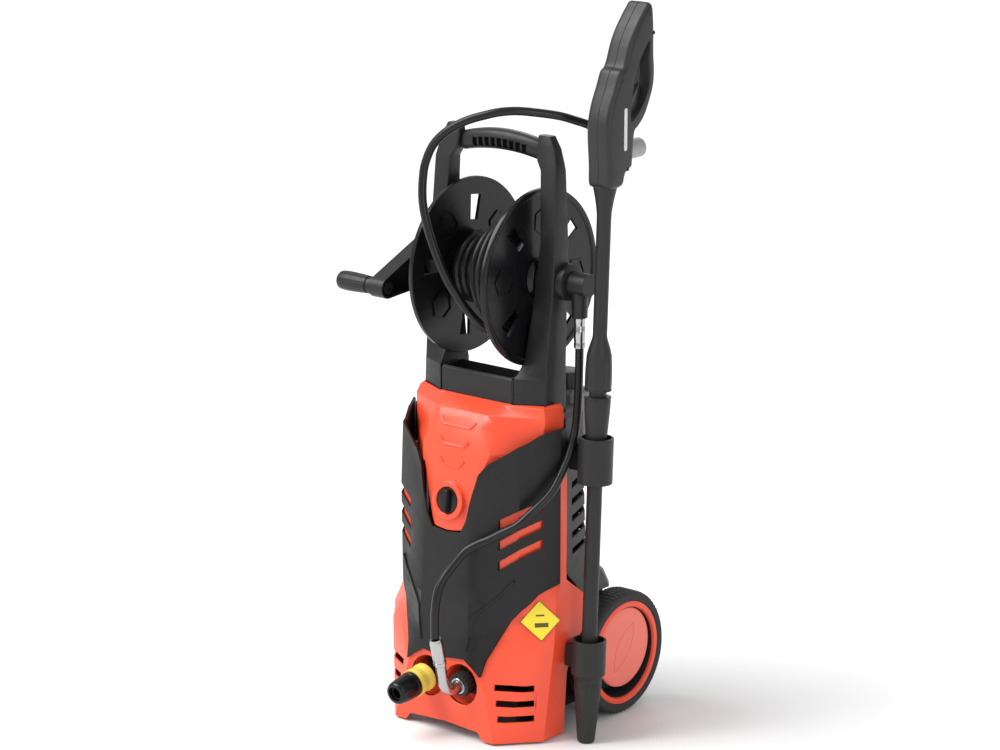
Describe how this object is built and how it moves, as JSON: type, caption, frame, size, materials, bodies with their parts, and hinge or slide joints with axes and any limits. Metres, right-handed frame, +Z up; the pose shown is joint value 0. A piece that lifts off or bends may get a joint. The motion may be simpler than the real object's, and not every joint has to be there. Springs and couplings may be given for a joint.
{
  "type": "pressure washer",
  "caption": "Upright wheeled electric pressure washer with a moulded casing, frame with hose reel and crank, and a spray lance with trigger gun held on its side.",
  "frame": {"origin": "middle of the footprint, on the floor", "axes": "+Z up, front faces -Y, +X is the side that carries the lance"},
  "size_m": [0.4154, 0.3876, 1.03],
  "materials": {
    "orange_plastic": "satin moulded plastic",
    "black_plastic": "satin moulded plastic",
    "gloss_black_plastic": "glossy moulded plastic",
    "grey_plastic": "satin dark grey plastic",
    "hub_red_plastic": "satin plastic, paler than the rim",
    "tyre_rubber": "matte tyre",
    "foot_rubber": "matte rubber",
    "hose_rubber": "smooth black hose",
    "cord_rubber": "smooth black cable sheath",
    "steel": "bright plated steel",
    "motor_steel": "rolled sheet",
    "pump_aluminium": "cast",
    "yellow_plastic": "satin plastic",
    "tank_plastic": "translucent grey plastic",
    "gun_grey_plastic": "satin dark grey plastic"
  },
  "bodies": {
    "chassis": {"front_shell": "orange_plastic", "port_recess": "orange_plastic", "front_panel": "black_plastic", "top_hood": "orange_plastic", "rear_housing": "grey_plastic", "base_tray": "black_plastic", "front_foot_left": "foot_rubber", "front_foot_right": "foot_rubber", "axle": "steel", "post_left": "black_plastic", "post_right": "black_plastic", "cross_tray": "black_plastic", "handle_grip": "black_plastic", "swivel_elbow": "black_plastic", "reel_ferrule": "steel", "lance_ring": "black_plastic", "lance_cup": "black_plastic", "gun_hose": "hose_rubber", "jumper_hose": "hose_rubber", "water_inlet": "black_plastic", "connector_body": "black_plastic", "outlet_stub": "black_plastic", "outlet_elbow": "steel", "power_switch": "black_plastic", "pump_head": "pump_aluminium", "motor_can": "motor_steel", "detergent_tank": "tank_plastic", "cord_hook_upper": "black_plastic", "cord_hook_lower": "black_plastic", "cord_gland": "cord_rubber", "mains_cord": "cord_rubber", "mains_hank": "cord_rubber", "mains_tail": "cord_rubber", "mains_plug": "cord_rubber"},
    "reel": {"reel_flange_left": "gloss_black_plastic", "reel_flange_right": "gloss_black_plastic", "reel_core": "black_plastic", "reel_shaft": "steel", "hose_winding": "hose_rubber", "crank_arm": "black_plastic"},
    "crank_knob": {"crank_knob": "black_plastic"},
    "wheel_left": {"tyre_left": "tyre_rubber", "rim_left": "orange_plastic", "hub_disc_left": "hub_red_plastic"},
    "wheel_right": {"tyre_right": "tyre_rubber", "rim_right": "orange_plastic", "hub_disc_right": "hub_red_plastic"},
    "switch_knob": {"switch_knob": "gloss_black_plastic"},
    "lance": {"extension_lance": "black_plastic", "gun_shell_left": "gun_grey_plastic", "gun_shell_right": "gun_grey_plastic", "gun_inlet": "gun_grey_plastic"},
    "nozzle_lance": {"nozzle_lance": "black_plastic"},
    "spray_nozzle": {"spray_nozzle": "black_plastic"},
    "trigger": {"trigger": "black_plastic"},
    "trigger_lock": {"trigger_lock": "gun_grey_plastic"},
    "connector_collar": {"connector_collar": "yellow_plastic"},
    "outlet_nut": {"outlet_nut": "black_plastic"},
    "tank_cap": {"tank_cap": "black_plastic"},
    "motor_rotor": {"motor_rotor": "steel"}
  },
  "joints": [
    {"name": "reel_spin", "type": "hinge", "parent": "chassis", "child": "reel", "pos_m": [0.00525, 0.0109, 0.6456], "axis": [1, 0, 0], "continuous": true},
    {"name": "crank_knob_spin", "type": "hinge", "parent": "reel", "child": "crank_knob", "pos_m": [-0.14555, -0.0921, 0.62], "axis": [1, 0, 0], "continuous": true},
    {"name": "wheel_left_spin", "type": "hinge", "parent": "chassis", "child": "wheel_left", "pos_m": [-0.12475, 0.1043, 0.09], "axis": [1, 0, 0], "continuous": true},
    {"name": "wheel_right_spin", "type": "hinge", "parent": "chassis", "child": "wheel_right", "pos_m": [0.13525, 0.1043, 0.09], "axis": [1, 0, 0], "continuous": true},
    {"name": "switch_knob_turn", "type": "hinge", "parent": "chassis", "child": "switch_knob", "pos_m": [0.00525, -0.1077, 0.339], "axis": [0, -0.9915, 0.13], "range_deg": [0, 90]},
    {"name": "lance_lift", "type": "slide", "parent": "chassis", "child": "lance", "axis": [0, 0.043, 0.9991], "range_m": [0, 0.16]},
    {"name": "nozzle_lance_twist", "type": "hinge", "parent": "lance", "child": "nozzle_lance", "pos_m": [0.18325, -0.00266, 0.4981], "axis": [0, 0.043, 0.9991], "range_deg": [0, 45]},
    {"name": "nozzle_twist", "type": "hinge", "parent": "nozzle_lance", "child": "spray_nozzle", "pos_m": [0.18325, -0.01964, 0.1037], "axis": [0, 0.043, 0.9991], "range_deg": [0, 90]},
    {"name": "trigger_pull", "type": "hinge", "parent": "lance", "child": "trigger", "pos_m": [0.18325, 0.0289, 0.887], "axis": [1, 0, 0], "range_deg": [0, 5], "stiffness_Nm_per_rad": 3, "springref_deg": -5.73},
    {"name": "trigger_lock_turn", "type": "hinge", "parent": "trigger", "child": "trigger_lock", "pos_m": [0.18325, 0.0609, 0.901], "axis": [1, 0, 0], "range_deg": [-5, 15]},
    {"name": "connector_collar_slide", "type": "slide", "parent": "chassis", "child": "connector_collar", "axis": [0, 0.9908, 0.1357], "range_m": [0, 0.006], "stiffness_N_per_m": 600, "springref_m": -0.002},
    {"name": "outlet_nut_turn", "type": "hinge", "parent": "chassis", "child": "outlet_nut", "pos_m": [0.03555, -0.1159, 0.078], "axis": [0, 0.9893, 0.1458], "continuous": true},
    {"name": "tank_cap_turn", "type": "hinge", "parent": "chassis", "child": "tank_cap", "pos_m": [0.05525, 0.0879, 0.4723], "axis": [0, 0, 1], "continuous": true},
    {"name": "rotor_spin", "type": "hinge", "parent": "chassis", "child": "motor_rotor", "pos_m": [0.00525, -0.0041, 0.1883], "axis": [0, 0, 1], "continuous": true}
  ]
}
